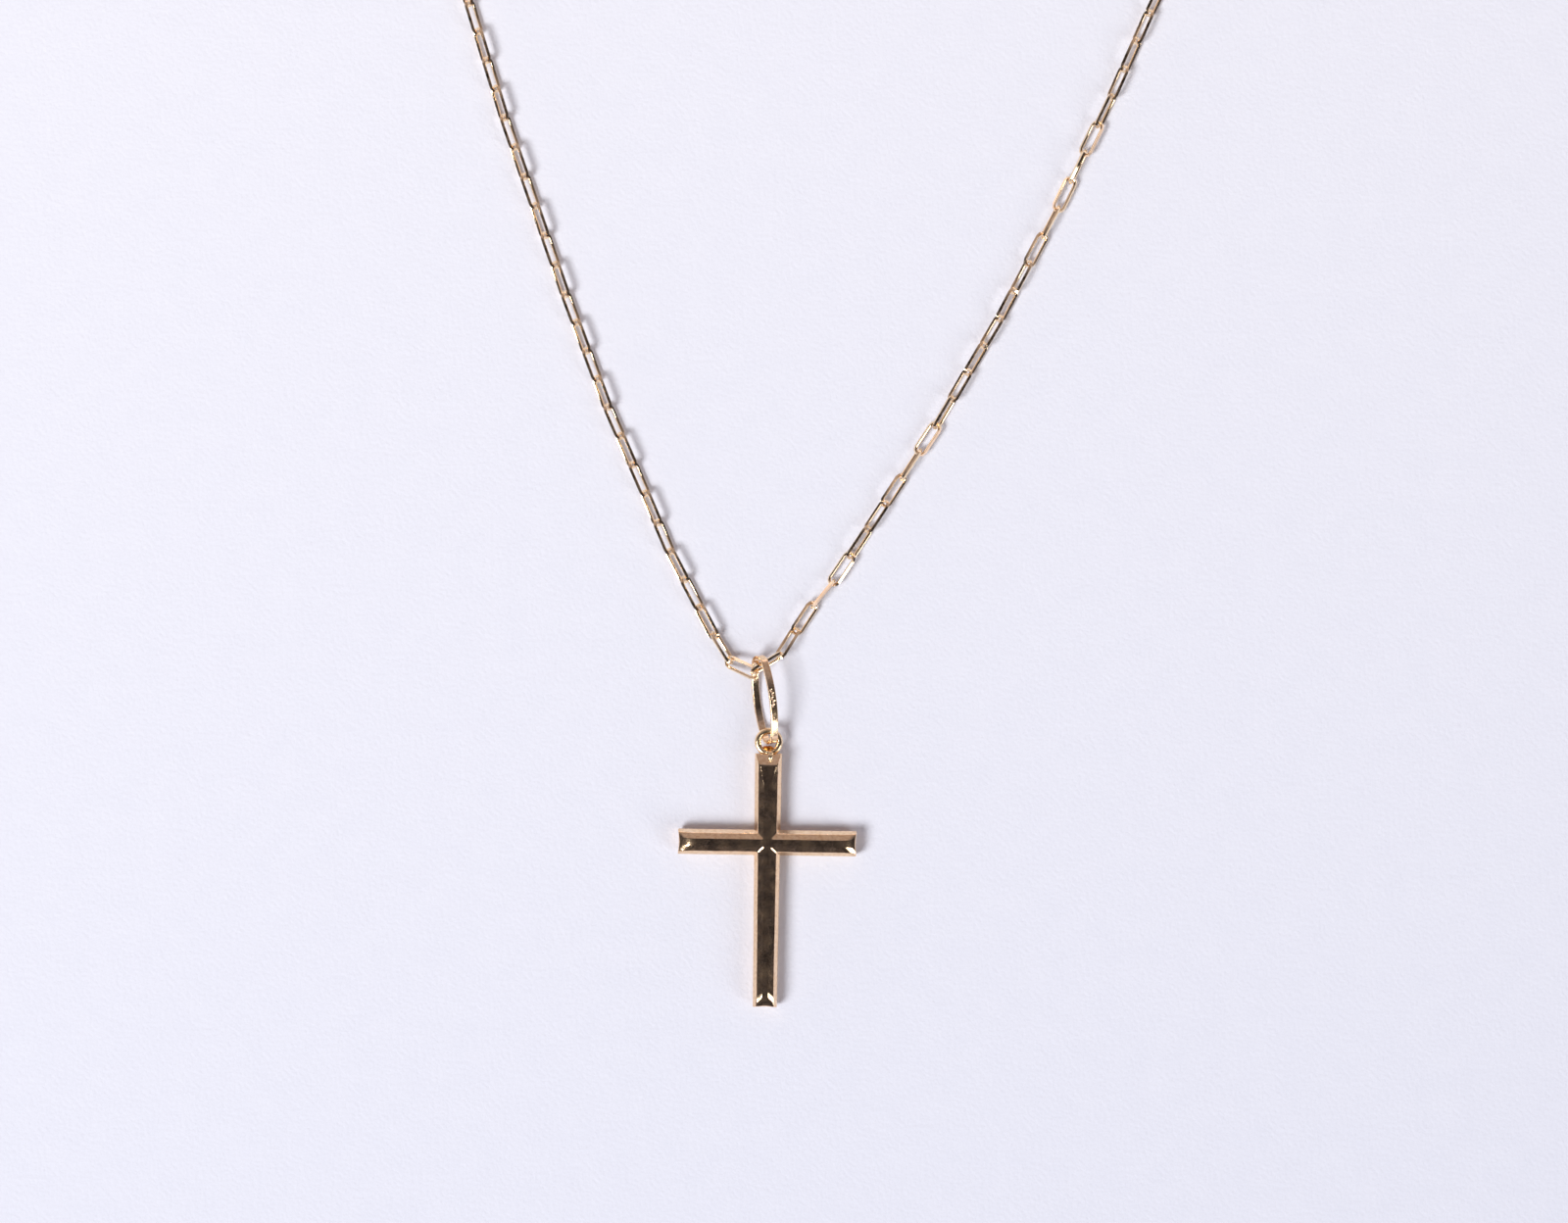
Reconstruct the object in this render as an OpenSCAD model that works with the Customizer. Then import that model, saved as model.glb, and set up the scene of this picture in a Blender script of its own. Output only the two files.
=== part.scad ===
// Cross pendant of yellow gold on its own fine cable chain, laid out flat.
// Millimetres. +X is to the right, +Y runs from the foot of the cross up to the clasp, +Z is up.
// The origin lies on the table, under the middle of the whole loop.

/* [Cross] */
// Length of the upright from its top end to its foot
upright_l = 21.6; // [19:0.1:25]
// Distance from the top end of the upright down to the middle of the cross bar
arm_drop = 7.6; // [6.5:0.1:9]
// Length of the cross bar from end to end
bar_l = 15.2; // [12:0.1:18]
// Width of the upright at its top end
upright_w = 2.3; // [2:0.05:2.8]
// Width of the upright at its foot
foot_w = 2.06; // [1.9:0.02:2.8]
// Width of the cross bar
bar_w = 2.16; // [1.9:0.02:2.6]
// Thickness of the cross from back to front
cross_t = 2.1; // [1.8:0.05:2.4]
// Width of the sloping face along every edge, seen from the front
slope_w = 0.68; // [0.4:0.02:0.8]
// Height of the sloping face along every edge
slope_h = 0.52; // [0.3:0.02:0.6]
// Length of the sloping face at the end of each arm, seen from the front
hip_w = 0.74; // [0.4:0.02:0.9]

/* [Ring on the cross] */
// Outer diameter of the ring that is soldered to the top end
ring_d = 2.4; // [2.3:0.05:2.9]
// Wire of that ring
ring_wire = 0.54; // [0.4:0.02:0.6]
// How far the ring is sunk into the top end
ring_sink = 0.24; // [0.15:0.01:0.3]
// How far the ring sits in front of the middle of the cross's thickness
ring_rise = 0.14; // [0:0.01:0.25]
// Diameter of the bead of solder at the joint
solder_d = 0.7; // [0.4:0.05:0.8]

/* [Bail] */
// Length of the bail from end to end
bail_l = 7.6; // [7.4:0.1:8.4]
// Width of the bail across its two limbs
bail_w = 2.95; // [2.8:0.05:3.4]
// Radius of the round ends of the bail, to the middle of the strip
bail_end_r = 0.88; // [0.8:0.01:1.1]
// Width of the gold strip
strip_w = 0.64; // [0.5:0.01:0.7]
// Thickness of the gold strip
strip_t = 0.24; // [0.18:0.01:0.28]

/* [Chain] */
// Distance from one link to the next
link_pitch = 2.62; // [2.4:0.02:3]
// Outer width of a link
link_w = 1.15; // [1.12:0.01:1.3]
// Wire of a link
link_wire = 0.28; // [0.2:0.01:0.3]
// Space left between two links where they hook into each other
link_play = 0.16; // [0.1:0.01:0.2]
// Half of the quarter turn by which each link is rolled against the next
link_roll = 45; // [40:1:50]

/* [Clasp] */
// Outer diameter of the clasp ring
clasp_d = 5.2; // [4.5:0.1:7]
// Thickness of the clasp ring
clasp_wire = 1.1; // [0.8:0.05:1.4]
// Outer diameter of the eyelet at each side of the clasp
eyelet_d = 1.52; // [1.4:0.02:1.8]
// Wire of those eyelets
eyelet_wire = 0.36; // [0.3:0.01:0.38]
// How far each eyelet is sunk into the clasp ring
eyelet_sink = 0.15; // [0.1:0.01:0.2]

/* [Loop] */
// Radius of the round stretch at the back of the neck
loop_r = 53.5; // [50:0.5:58]
// Height of the whole loop, from the bail up to the clasp
loop_h = 181.6; // [170:0.2:190]

/* [Hidden] */
gold = [0.93, 0.76, 0.45];
round_fn = 32;
wire_fn = 16;
side_fn = 240;

// Places on the table are given from the middle of the picture of the pendant.
// The route of each strand, from the bail outwards to where it leaves the picture.
left_route = [
  [-5.9, -2.1], [-7.2, 0.35], [-9.7, 5.1], [-11.8, 10.05],
  [-15, 17.4], [-18.6, 27], [-23.8, 42.05], [-26.8, 51.8]
];
right_route = [
  [2.5, 0.5], [4.15, 2.5], [7.15, 7], [12.95, 15.8],
  [18.35, 24.95], [23.3, 34.3], [27.9, 43.8], [31.1, 50.95]
];
// The five links at the turn, each with its two hooks as they lie above a resting link, and its roll.
turn_links = [
  [[-5.94, -1.98, -0.02], [-4.58, -4.20, 0.07], -62],
  [[-4.72, -4.24, 0.02], [-2.49, -5.29, 0.85], 13],
  [[-2.56, -5.05, 0.93], [-0.35, -3.71, 0.44], 64],
  [[-0.37, -3.77, 0.59], [0.97, -1.62, -0.09], -46],
  [[1.01, -1.69, -0.06], [2.48, 0.53, 0.02], 24]
];
// How each link of a strand is rolled, from the bail outwards: a raised left limb is positive.
left_rolls = [-38, 42];
right_rolls = [
  90, -18, 50, -45, 30, -80, -8, 63, -42, 45,
  -48, 45, -55, 25, -80, 8, 78, -12, 60
];
// Middle of the round stretch, from side to side
loop_x = 6.8;
// Lowest line of the route, where the chain passes through the bail
turn_y = -4.3;

// How far the end of a link reaches past the point where it hooks
hook = (link_wire + link_play) / 2;
// Gap left between a resting piece and the table
table_gap = 0.01;
// Height of the middle of a link that rests on the table
lie_z = link_w / 2 + table_gap;
// Middle of the round stretch
loop_c = [loop_x, turn_y + loop_h - loop_r];

// Where the middle of the strip lies at the top end of the bail
bail_top = [-2.1, -3.84];
// Turn of the bail on the table, and its roll about its own length
bail_yaw = 7.2;
bail_roll = 59.4;
// Height of the middle of the bail, whose lower limb rests on the table
bail_z = bail_w / 2 * sin(bail_roll) + strip_w / 2 * cos(bail_roll) + 2 * table_gap;
// Height of the middle of the ring above the table
ring_z = cross_t / 2 + ring_rise;
// Length of the bail to the middle of its strip, end to end
bail_mid_l = bail_l - strip_t;
// How far the foot of the bail lies above the middle of the ring
foot_rise = 0.05;
// Slope of the bail
bail_pitch = asin((bail_z - ring_z - foot_rise) / (bail_mid_l / 2));

// How much stouter the tight ends of the bail are, and how many degrees they reach over its sides
end_more = 0.02;
end_over = 3;

// Middle of the strip at the foot of the bail
foot = bail_top - bail_mid_l * cos(bail_pitch) * [-sin(bail_yaw), cos(bail_yaw)];
// How far the middle of the ring lies from the foot of the bail that passes through it
ring_off = [-0.12, 0.05];
// Middle of the ring on the cross
ring_c = foot + ring_off;
// Lean of the cross on the table
cross_lean = -0.85;

// Distance from the middle of the clasp ring to the middle of each eyelet
eyelet_c = clasp_d / 2 + eyelet_d / 2 - eyelet_sink;
// Angle between the clasp and the first link beside it, seen from the middle of the round stretch
clasp_a = 2 * asin((eyelet_c + hook) / 2 / loop_r);

// Upper and lower end of the whole necklace
top_end = loop_c.y + loop_r + clasp_d / 2;
low_end = ring_c.y - (ring_d / 2 - ring_sink) - upright_l;
// Middle of the whole necklace, which stands over the origin
centre = [loop_c.x, (top_end + low_end) / 2];

// Points that divide the line from p to q into whole links, without the last one
function line_points(p, q) =
  let (n = max(1, round(norm(q - p) / link_pitch)))
  [for (i = [0 : n - 1]) p + (q - p) * i / n];
// Points along the arc of the round stretch from angle a to angle b, both ends included
function arc_points(a, b) =
  let (n = max(1, round(abs(b - a) * PI / 180 * loop_r / link_pitch)))
  [for (i = [0 : n]) let (t = a + (b - a) * i / n) loop_c + loop_r * [cos(t), sin(t)]];
// Angle at which the line from p meets the round stretch without a kink; s is the side, -1 left and 1 right
function touch_angle(p, s) =
  let (d = p - loop_c, a = acos(loop_r / norm(d)))
  atan2(d.y, d.x) + s * a;
// Hook points of a whole strand, from the bail to the clasp
function strand(route, s) =
  let (
    last = route[len(route) - 1],
    raw = touch_angle(last, s),
    a = s < 0 && raw < 0 ? raw + 360 : raw,
    arc = arc_points(a, 90 - s * clasp_a)
  )
  [
    for (i = [0 : len(route) - 2]) each line_points(route[i], route[i + 1]),
    each line_points(last, arc[0]),
    each arc
  ];
// Roll of link i out of n in a strand that starts with the given rolls
function roll_of(i, n, rolls, s) =
  i == n - 1 ? 90
  : let (turn = (i % 2 == 0 ? s : -s))
    i == n - 2 ? turn * link_roll / 2
    : i < len(rolls) ? rolls[i] : turn * link_roll;

// The links of a strand: the hook points of each as they lie above a resting link, and its roll
function strand_links(route, rolls, s) =
  let (p = strand(route, s), n = len(p) - 1)
  [for (i = [0 : n - 1]) [[p[i].x, p[i].y, 0], [p[i + 1].x, p[i + 1].y, 0], roll_of(i, n, rolls, s)]];

// A wire of thickness d bent to an arc of radius r, half a turn about the origin on the +X side
module half_turn(r, d) {
  rotate([0, 0, -90])
    rotate_extrude(angle = 180, $fn = round_fn)
      translate([r, 0]) circle(d = d, $fn = wire_fn);
}

// A closed ring of round wire with outer diameter d
module wire_ring(d, wire) {
  rotate_extrude($fn = round_fn)
    translate([(d - wire) / 2, 0]) circle(d = wire, $fn = wire_fn);
}

// One long link, l from end to end on the middle of its wire, its straight sides whole hundredths long
module link(l) {
  r = (link_w - link_wire) / 2;
  h = round(200 * (l / 2 - r)) / 200;
  for (s = [-1, 1]) {
    translate([-h, s * r, 0]) rotate([0, 90, 0]) cylinder(d = link_wire, h = 2 * h, $fn = wire_fn);
    rotate([0, 0, 90 - 90 * s]) translate([h, 0, 0]) half_turn(r, link_wire);
  }
}

// A link from hook point p to hook point q
module link_between(p, q, roll) {
  v = q - p;
  flat = norm([v.x, v.y]);
  translate((p + q) / 2)
    rotate([0, -atan2(v.z, flat), atan2(v.y, v.x)])
      rotate([roll, 0, 0])
        link(norm(v) + 2 * hook);
}

// Everything is drawn from the middle of the picture and then set over the origin
module place() {
  translate([-centre.x, -centre.y, 0]) children();
}

// The whole chain, from the clasp down the left strand, round the turn and up the right strand
module chain() {
  left = strand_links(left_route, left_rolls, -1);
  right = strand_links(right_route, right_rolls, 1);
  lift = [0, 0, lie_z];
  color(gold) place()
    for (l = concat(left, turn_links, right))
      link_between(l[0] + lift, l[1] + lift, l[2]);
}

// One side of a bar's section, long enough for a bar of length l, its edge on the line x = 0
module edge_profile(l) {
  far = 2 * upright_w + bar_w;
  over = 1;
  rotate([90, 0, 0]) translate([0, 0, -over]) linear_extrude(l + 2 * over)
    polygon([
      [-far, 0], [-slope_w, 0], [0, slope_h],
      [0, cross_t - slope_h], [-slope_w, cross_t], [-far, cross_t]
    ]);
}

// A bar from the origin along -Y with sloping edges and ends, w0 wide at the origin and w1 at its far end
module sloped_bar(l, w0, w1) {
  turn = atan((w1 - w0) / 2 / l);
  wide = 2 * max(w0, w1);
  intersection() {
    translate([w0 / 2, 0, 0]) rotate([0, 0, turn]) edge_profile(l);
    mirror([1, 0, 0]) translate([w0 / 2, 0, 0]) rotate([0, 0, turn]) edge_profile(l);
    rotate([90, 0, 90]) translate([0, 0, -wide / 2]) linear_extrude(wide)
      polygon([
        [0, slope_h], [0, cross_t - slope_h], [-hip_w, cross_t], [hip_w - l, cross_t],
        [-l, cross_t - slope_h], [-l, slope_h], [hip_w - l, 0], [-hip_w, 0]
      ]);
  }
}

// The cross with the ring soldered to its top end, hanging from the middle of that ring
module cross() {
  top = ring_sink - ring_d / 2;
  color(gold) place()
    translate([ring_c.x, ring_c.y, 0]) rotate([0, 0, cross_lean]) {
      translate([0, top, 0]) sloped_bar(upright_l, upright_w, foot_w);
      translate([-bar_l / 2, top - arm_drop, 0]) rotate([0, 0, 90]) sloped_bar(bar_l, bar_w, bar_w);
      translate([0, 0, ring_z]) wire_ring(ring_d, ring_wire);
      translate([0, top, ring_z]) sphere(d = solder_d, $fn = round_fn);
    }
}

// Part of the bail's strip: an arc of radius r to the middle of the strip, from angle a to angle b,
// stouter by more than the plain strip
module strip_arc(r, a, b, more = 0) {
  rotate([0, 0, a])
    rotate_extrude(angle = b - a, $fn = side_fn)
      translate([r, 0]) square([strip_t + more, strip_w + more], center = true);
}

// The long oval of flat strip, its length along Y, made of two wide arcs and two tight ones.
// The tight ones are a hair stouter and reach a little way over the wide ones.
module oval_strip() {
  half_w = (bail_w - strip_t) / 2;
  k = bail_mid_l / 2 - bail_end_r;
  side_r = (k * k + half_w * half_w - bail_end_r * bail_end_r) / (2 * (half_w - bail_end_r));
  meet = atan2(k, side_r - half_w);
  for (s = [0, 180]) rotate([0, 0, s]) {
    translate([half_w - side_r, 0, 0]) strip_arc(side_r, -meet, meet);
    translate([0, k, 0]) strip_arc(bail_end_r, meet - end_over, 180 - meet + end_over, end_more);
  }
}

// The bail lies on its lower limb, its foot in the ring and its top end under the chain
module bail() {
  mid = (bail_top + foot) / 2;
  color(gold) place()
    translate([mid.x, mid.y, bail_z])
      rotate([0, 0, bail_yaw]) rotate([bail_pitch, 0, 0]) rotate([0, -bail_roll, 0])
        oval_strip();
}

// The closed ring at the back of the neck rests on the table, with an eyelet at each side
module clasp() {
  a = 2 * asin(eyelet_c / 2 / loop_r);
  color(gold) place() {
    translate([loop_c.x, loop_c.y + loop_r, clasp_wire / 2]) wire_ring(clasp_d, clasp_wire);
    for (s = [-1, 1])
      translate([loop_c.x - s * loop_r * sin(a), loop_c.y + loop_r * cos(a), lie_z])
        wire_ring(eyelet_d, eyelet_wire);
  }
}

cross();
bail();
chain();
clasp();
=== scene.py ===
"""A polished gold cross pendant on its fine cable chain, laid out flat on white paper.

Lengths are written in millimetres, as on a jeweller's bench card, and turned to metres only where a
mesh is made. The row frame is the one of the solids: +X to the right, +Y from the foot of the cross
up to the clasp, +Z up from the table.
"""
import logging
import math
from dataclasses import dataclass, field
from enum import Enum
from typing import NamedTuple

import bmesh
import bpy
import numpy as np
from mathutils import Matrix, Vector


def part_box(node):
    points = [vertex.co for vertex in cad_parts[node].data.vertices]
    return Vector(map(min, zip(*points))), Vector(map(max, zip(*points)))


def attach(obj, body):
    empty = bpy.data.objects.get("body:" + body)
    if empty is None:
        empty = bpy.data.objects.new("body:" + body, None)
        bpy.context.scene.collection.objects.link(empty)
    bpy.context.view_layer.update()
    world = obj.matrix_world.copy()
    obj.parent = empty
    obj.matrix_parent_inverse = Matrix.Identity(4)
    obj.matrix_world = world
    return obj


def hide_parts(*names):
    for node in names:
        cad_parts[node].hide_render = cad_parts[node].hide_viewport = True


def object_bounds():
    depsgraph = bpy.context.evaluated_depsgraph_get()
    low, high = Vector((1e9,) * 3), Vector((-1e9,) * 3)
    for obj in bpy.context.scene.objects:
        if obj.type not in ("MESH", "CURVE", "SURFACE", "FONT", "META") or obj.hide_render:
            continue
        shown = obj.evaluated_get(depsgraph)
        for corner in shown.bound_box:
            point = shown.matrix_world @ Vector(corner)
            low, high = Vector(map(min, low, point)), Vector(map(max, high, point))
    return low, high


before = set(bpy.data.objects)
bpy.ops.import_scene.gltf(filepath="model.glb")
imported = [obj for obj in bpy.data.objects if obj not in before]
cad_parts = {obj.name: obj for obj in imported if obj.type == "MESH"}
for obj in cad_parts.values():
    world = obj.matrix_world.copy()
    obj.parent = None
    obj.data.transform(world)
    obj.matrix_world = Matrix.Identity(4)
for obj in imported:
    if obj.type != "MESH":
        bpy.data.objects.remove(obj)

CAD_BOX = [list(corner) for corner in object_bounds()]
MM = 0.001
LOG = logging.getLogger("pendant")


class Edge(Enum):
    """How a side of the outline is finished."""

    SIDE = "long sloping side"
    END = "hipped end"


class Drop(NamedTuple):
    """A drop of solder: its middle, from the top end at the ring's height, and its three radii."""

    x: float
    y: float
    z: float
    wide: float
    long: float
    high: float


def linear(code: str) -> tuple[float, float, float, float]:
    """Turns an sRGB hex colour into the linear colour that a shader takes.

    Args:
        code: Colour such as "#F7D8AA".

    Returns:
        Red, green, blue and an alpha of one.
    """
    parts = np.array([int(code[i:i + 2], 16) for i in (1, 3, 5)]) / 255
    low, high = parts / 12.92, ((parts + 0.055) / 1.055) ** 2.4
    red, green, blue = np.where(parts <= 0.04045, low, high)
    return float(red), float(green), float(blue), 1.0


def add_node(tree: bpy.types.NodeTree, kind: str, settings: dict | None = None,
             links: dict | None = None) -> bpy.types.Node:
    """Adds a node with its settings and its links.

    Args:
        tree: Node tree that the node is added to.
        kind: Node type, such as "ShaderNodeBump".
        settings: Values by the name or number of an input, or else by the name of a property.
        links: Output sockets by the name or number of the input that each goes to.

    Returns:
        The new node.
    """
    node = tree.nodes.new(kind)
    for key, value in (settings or {}).items():
        if isinstance(key, int) or key in node.inputs:
            node.inputs[key].default_value = value
        else:
            setattr(node, key, value)
    for key, socket in (links or {}).items():
        tree.links.new(socket, node.inputs[key])
    return node


def noise(tree: bpy.types.NodeTree, where: bpy.types.NodeSocket, size: float, detail: float) -> bpy.types.NodeSocket:
    """Adds a noise whose patches have a real size.

    Args:
        tree: Node tree that the node is added to.
        where: Socket with the place in metres.
        size: Size of a patch in millimetres.
        detail: How many times finer noise is added to it.

    Returns:
        Socket with a value about 0.5.
    """
    settings = {"Scale": 1 / (size * MM), "Detail": detail}
    return add_node(tree, "ShaderNodeTexNoise", settings, {"Vector": where}).outputs["Fac"]


def remap(tree: bpy.types.NodeTree, value: bpy.types.NodeSocket, source: tuple[float, float],
          target: tuple[float, float], curve: str = "LINEAR") -> bpy.types.NodeSocket:
    """Carries a value from one range over to another and holds it at both ends.

    Args:
        tree: Node tree that the node is added to.
        value: Socket with the value.
        source: Start and end of the range it comes from.
        target: Start and end of the range it goes to.
        curve: How it runs between them, such as "LINEAR" or "SMOOTHSTEP".

    Returns:
        Socket with the new value.
    """
    settings = {"interpolation_type": curve, 1: source[0], 2: source[1], 3: target[0], 4: target[1]}
    return add_node(tree, "ShaderNodeMapRange", settings, {0: value}).outputs[0]


def blend(tree: bpy.types.NodeTree, share: bpy.types.NodeSocket, first: bpy.types.NodeSocket | str,
          second: str) -> bpy.types.NodeSocket:
    """Mixes two colours.

    Args:
        tree: Node tree that the node is added to.
        share: Socket with the second colour's share.
        first: The first colour, a socket or an sRGB hex colour.
        second: The second colour, an sRGB hex colour.

    Returns:
        Socket with the mixed colour.
    """
    settings, links = {"data_type": "RGBA", 7: linear(second)}, {0: share}
    if isinstance(first, str):
        settings[6] = linear(first)
    else:
        links[6] = first
    return add_node(tree, "ShaderNodeMix", settings, links).outputs[2]


def smooth_min(a: np.ndarray, b: np.ndarray, reach: float) -> np.ndarray:
    """Takes the lower of two heights and rounds the edge where they cross.

    The rounding takes off a quarter of reach where both are equal and fades out, with no kink, where
    they differ by reach.

    Args:
        a: First heights.
        b: Second heights.
        reach: Difference of height within which the edge is rounded.

    Returns:
        The joined heights.
    """
    near = np.clip(reach - np.abs(a - b), 0, None) / reach
    return np.minimum(a, b) - near * near * reach / 4


def smooth_max(a: np.ndarray, b: np.ndarray, reach: float) -> np.ndarray:
    """Takes the higher of two heights, the valley between them rounded as in smooth_min.

    Args:
        a: First heights.
        b: Second heights.
        reach: Difference of height within which the valley is rounded.

    Returns:
        The joined heights.
    """
    return -smooth_min(-a, -b, reach)


def turned(points: np.ndarray, degrees: float) -> np.ndarray:
    """Turns points about the Z axis.

    Args:
        points: Rows of x, y and z.
        degrees: Turn, counterclockwise seen from above.

    Returns:
        The turned points.
    """
    c, s = math.cos(math.radians(degrees)), math.sin(math.radians(degrees))
    return points @ np.array([[c, s, 0], [-s, c, 0], [0, 0, 1]])


def ring_faces(rows: int, columns: int, closed_rows: bool = True) -> np.ndarray:
    """Numbers the four-sided faces of a grid whose columns close on themselves.

    Corner (i, j) of the grid is vertex i * columns + j. Rows run along the path, columns round the
    section.

    Args:
        rows: Number of sections along the path.
        columns: Number of vertices round each section.
        closed_rows: Whether the last section joins the first.

    Returns:
        One row of four vertex numbers for each face.
    """
    i = np.arange(rows if closed_rows else rows - 1)[:, None]
    j = np.arange(columns)[None, :]
    after, beside = (i + 1) % rows, (j + 1) % columns
    faces = np.stack([i * columns + j, i * columns + beside, after * columns + beside, after * columns + j], -1)
    return faces.reshape(-1, 4)


def swept_ring(path: np.ndarray, outward: np.ndarray, across: np.ndarray, section: np.ndarray) -> np.ndarray:
    """Carries a section round a closed path.

    A point (a, b) of the section goes to path + a * outward + b * across.

    Args:
        path: Points of the path, one row each.
        outward: Unit vector out of the loop at each point of the path.
        across: Unit vector across the loop at each point of the path.
        section: Points of the section, clockwise seen along the path.

    Returns:
        Vertices, section after section.
    """
    a, b = section[None, :, 0, None], section[None, :, 1, None]
    return (path[:, None] + a * outward[:, None] + b * across[:, None]).reshape(-1, 3)


def torus(middle: tuple[float, float, float], outer: float, wire: float, around: int = 96,
          section: int = 32) -> tuple[np.ndarray, np.ndarray]:
    """Makes a closed ring of round wire that lies flat.

    The path is a circle about the Z axis, and the section a circle carried along it.

    Args:
        middle: Middle of the ring.
        outer: Outer diameter.
        wire: Diameter of the wire.
        around: Number of sections.
        section: Vertices in each section.

    Returns:
        Vertices and faces.
    """
    t = np.linspace(0, 2 * np.pi, around, endpoint=False)
    p = np.linspace(0, 2 * np.pi, section, endpoint=False)
    out = np.stack([np.cos(t), np.sin(t), 0 * t], 1)
    up = np.broadcast_to([0.0, 0.0, 1.0], out.shape)
    profile = wire / 2 * np.stack([np.cos(p), np.sin(p)], 1)
    points = swept_ring(out * (outer - wire) / 2, out, up, profile)
    return points + np.array(middle), ring_faces(around, section)[:, ::-1]


def make_piece(name: str, points: np.ndarray, faces: np.ndarray, finish: bpy.types.Material,
               sharp: np.ndarray | None = None) -> bpy.types.Object:
    """Puts vertices and faces into an object that stands at the origin and rides on the one body.

    Args:
        name: Name of the object.
        points: Vertices in millimetres, in the row frame.
        faces: Four vertex numbers for each face, counterclockwise seen from outside.
        finish: Its material.
        sharp: Class number of each vertex. An edge between two vertices of the same class above zero is
            left sharp.

    Returns:
        The object.
    """
    mesh = bpy.data.meshes.new(name)
    mesh.from_pydata((points * MM).tolist(), [], faces.tolist())
    mesh.validate()
    mesh.polygons.foreach_set("use_smooth", np.ones(len(mesh.polygons), bool))
    if sharp is not None:
        ends = np.empty(len(mesh.edges) * 2, np.int32)
        mesh.edges.foreach_get("vertices", ends)
        first, second = sharp[ends.reshape(-1, 2)].T
        mark = mesh.attributes.new("sharp_edge", "BOOLEAN", "EDGE")
        mark.data.foreach_set("value", (first == second) & (first > 0))
    mesh.materials.append(finish)
    mesh.update()
    piece = bpy.data.objects.new(name, mesh)
    bpy.context.scene.collection.objects.link(piece)
    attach(piece, "root")
    LOG.info("%s: %d faces", name, len(mesh.polygons))
    return piece


def close_seams(piece: bpy.types.Object, gap: float = 0.002) -> None:
    """Welds vertices that lie on each other, so that ridges and poles are closed.

    Args:
        piece: The object to weld.
        gap: Largest distance to weld over, in millimetres.
    """
    shape = bmesh.new()
    shape.from_mesh(piece.data)
    bmesh.ops.remove_doubles(shape, verts=shape.verts, dist=gap * MM)
    shape.to_mesh(piece.data)
    shape.free()
    piece.data.update()


@dataclass(frozen=True)
class PressedGold:
    """Eighteen carat yellow gold, stamped in a die and buffed to a mirror.

    The die and the buffing wheel leave a fine orange peel, so a flat face shows the dark room as a
    mottle and a slope shows the paper as a soft cream band. Polish left in the low spots dulls the
    colour there in small specks of haze.
    """

    colour: str = "#FCE0C0"
    deeper: str = "#F3CFA2"
    roughness: float = 0.13
    rough_spread: tuple[float, float] = (0.7, 1.4)
    # Real orange peel on buffed gold is about 0.05 mm across, too fine for the render, so it is drawn
    # at 0.2 mm. The specks of haze, a few hundredths across, are drawn at a quarter of a millimetre.
    peel_mm: float = 0.2
    peel_depth_mm: float = 0.006
    # The slow wave is what the hand leaves at the wheel, close to its real millimetre.
    wave_mm: float = 0.9
    wave_depth_mm: float = 0.004
    haze: str = "#E0BA93"
    haze_mm: float = 0.26
    haze_share: float = 0.7
    haze_span: tuple[float, float] = (0.46, 0.66)

    def material(self, name: str) -> bpy.types.Material:
        """Builds the material.

        Args:
            name: Name of the material.

        Returns:
            The material.
        """
        material = bpy.data.materials.new(name)
        material.use_nodes = True
        tree = material.node_tree
        tree.nodes.clear()
        where = add_node(tree, "ShaderNodeTexCoord").outputs["Object"]
        peel = noise(tree, where, self.peel_mm, 2.0)
        wave = noise(tree, where, self.wave_mm, 1.0)
        speck = noise(tree, where, self.haze_mm, 3.0)
        tone = blend(tree, wave, self.colour, self.deeper)
        tone = blend(tree, remap(tree, speck, self.haze_span, (0.0, self.haze_share)), tone, self.haze)
        smooth, dull = (self.roughness * share for share in self.rough_spread)
        rough = remap(tree, wave, (0.3, 0.7), (smooth, dull))
        broad = add_node(tree, "ShaderNodeBump", {"Strength": 1.0, "Distance": self.wave_depth_mm * MM},
                         {"Height": wave})
        fine = add_node(tree, "ShaderNodeBump", {"Strength": 1.0, "Distance": self.peel_depth_mm * MM},
                        {"Height": peel, "Normal": broad.outputs["Normal"]})
        shader = add_node(tree, "ShaderNodeBsdfPrincipled", {"Metallic": 1.0},
                          {"Base Color": tone, "Roughness": rough, "Normal": fine.outputs["Normal"]})
        add_node(tree, "ShaderNodeOutputMaterial", {}, {"Surface": shader.outputs[0]})
        return material


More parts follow.
